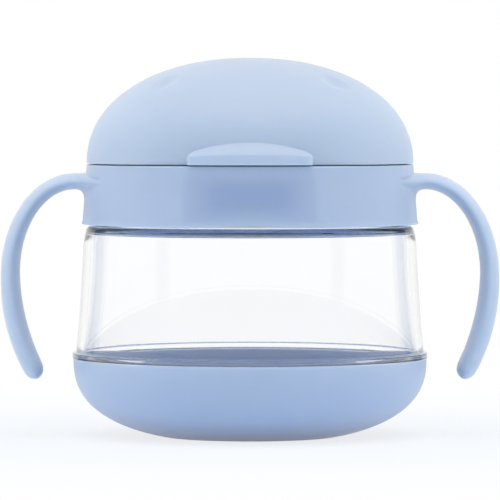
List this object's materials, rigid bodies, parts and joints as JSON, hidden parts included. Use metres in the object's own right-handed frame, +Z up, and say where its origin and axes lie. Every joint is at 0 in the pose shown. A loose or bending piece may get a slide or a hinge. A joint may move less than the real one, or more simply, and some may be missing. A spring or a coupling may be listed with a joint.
{
  "type": "toddler snack container",
  "caption": "Snack container with a domed lift-off cover, a screw collar with curved side handles, a soft no-spill closure, a clear wall and a round base.",
  "frame": {"origin": "centre of the foot, on the surface that the container stands on", "axes": "+Z up, +X towards one handle, -Y to the front, where the lift tab is"},
  "size_m": [0.1308, 0.093, 0.0989],
  "materials": {
    "shell_blue": "satin moulded plastic",
    "clear_plastic": "polished clear plastic",
    "soft_blue": "soft matte",
    "soft_white": "soft matte"
  },
  "bodies": {
    "jar": {"clear_wall": "clear_plastic", "base_bowl": "shell_blue"},
    "closure": {"closure_frame": "shell_blue", "closure_skin": "soft_blue", "neck_seal": "soft_white"},
    "collar": {"handle_collar": "shell_blue"},
    "cover": {"cover_dome": "shell_blue", "cover_seal": "soft_white"},
    "flap_1": {"closure_flap_1": "soft_blue"},
    "flap_2": {"closure_flap_2": "soft_blue"},
    "flap_3": {"closure_flap_3": "soft_blue"},
    "flap_4": {"closure_flap_4": "soft_blue"},
    "flap_5": {"closure_flap_5": "soft_blue"},
    "flap_6": {"closure_flap_6": "soft_blue"},
    "flap_7": {"closure_flap_7": "soft_blue"},
    "flap_8": {"closure_flap_8": "soft_blue"}
  },
  "joints": [
    {"name": "closure_rise", "type": "slide", "parent": "jar", "child": "closure", "axis": [0, 0, 1], "range_m": [0, 0.012]},
    {"name": "collar_turn", "type": "hinge", "parent": "closure", "child": "collar", "pos_m": [0, 0, 0.0632], "axis": [0, 0, 1], "range_deg": [0, 540]},
    {"name": "cover_lift", "type": "slide", "parent": "collar", "child": "cover", "axis": [0, 0, 1], "range_m": [0, 0.03]},
    {"name": "flap_1_bend", "type": "hinge", "parent": "closure", "child": "flap_1", "pos_m": [0, -0.02863, 0.06855], "axis": [-1, 0, 0], "range_deg": [-50, 75], "stiffness_Nm_per_rad": 0.015},
    {"name": "flap_2_bend", "type": "hinge", "parent": "closure", "child": "flap_2", "pos_m": [0.02024, -0.02024, 0.06855], "axis": [-0.7071, -0.7071, 0], "range_deg": [-50, 75], "stiffness_Nm_per_rad": 0.015},
    {"name": "flap_3_bend", "type": "hinge", "parent": "closure", "child": "flap_3", "pos_m": [0.02863, 0, 0.06855], "axis": [0, -1, 0], "range_deg": [-50, 75], "stiffness_Nm_per_rad": 0.015},
    {"name": "flap_4_bend", "type": "hinge", "parent": "closure", "child": "flap_4", "pos_m": [0.02024, 0.02024, 0.06855], "axis": [0.7071, -0.7071, 0], "range_deg": [-50, 75], "stiffness_Nm_per_rad": 0.015},
    {"name": "flap_5_bend", "type": "hinge", "parent": "closure", "child": "flap_5", "pos_m": [0, 0.02863, 0.06855], "axis": [1, 0, 0], "range_deg": [-50, 75], "stiffness_Nm_per_rad": 0.015},
    {"name": "flap_6_bend", "type": "hinge", "parent": "closure", "child": "flap_6", "pos_m": [-0.02024, 0.02024, 0.06855], "axis": [0.7071, 0.7071, 0], "range_deg": [-50, 75], "stiffness_Nm_per_rad": 0.015},
    {"name": "flap_7_bend", "type": "hinge", "parent": "closure", "child": "flap_7", "pos_m": [-0.02863, 0, 0.06855], "axis": [0, 1, 0], "range_deg": [-50, 75], "stiffness_Nm_per_rad": 0.015},
    {"name": "flap_8_bend", "type": "hinge", "parent": "closure", "child": "flap_8", "pos_m": [-0.02024, -0.02024, 0.06855], "axis": [-0.7071, 0.7071, 0], "range_deg": [-50, 75], "stiffness_Nm_per_rad": 0.015}
  ],
  "couplings": [
    {"joint": "closure_rise", "follows": "collar_turn", "m_per_rad": 0.0012732}
  ]
}
